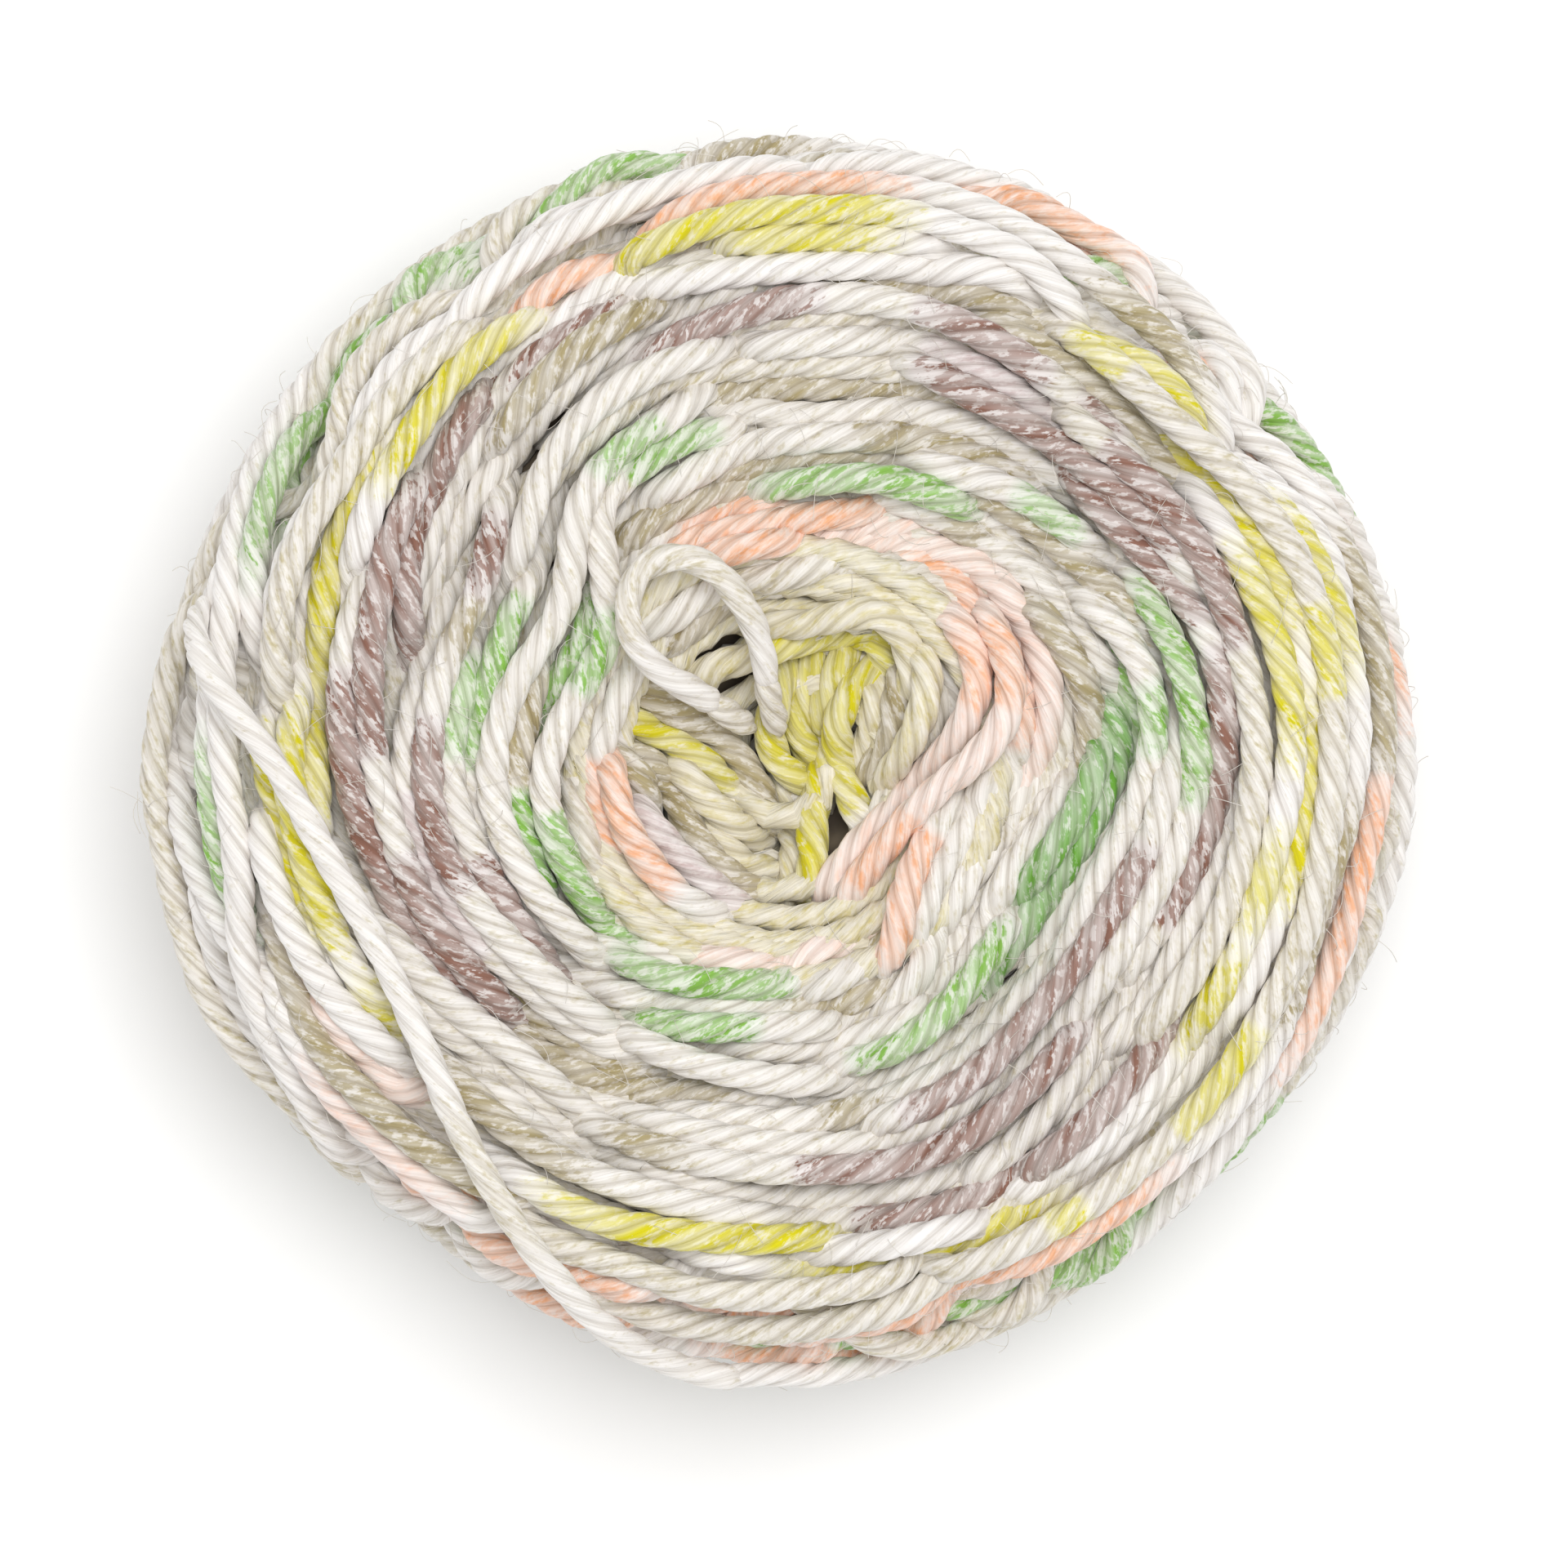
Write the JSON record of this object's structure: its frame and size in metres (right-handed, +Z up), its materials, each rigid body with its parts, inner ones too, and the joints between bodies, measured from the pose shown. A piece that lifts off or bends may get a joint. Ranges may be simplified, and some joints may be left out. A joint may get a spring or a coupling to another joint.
{
  "type": "yarn cake",
  "caption": "Round flat cake of plied speckle-dyed cotton yarn, wound around a sunken centre, with its outer end laid across the top face and a small loop at the centre.",
  "frame": {"origin": "middle of the base of the wound cake, on the surface it rests on", "axes": "+Z up through the cake, +X and +Y across the top face"},
  "size_m": [0.0998, 0.0997, 0.0502],
  "materials": {
    "dyed_yarn": "soft matt plied cotton with dyed speckles"
  },
  "bodies": {
    "root": {"wound_body": "dyed_yarn", "outer_end": "dyed_yarn", "centre_loop": "dyed_yarn"}
  },
  "joints": []
}
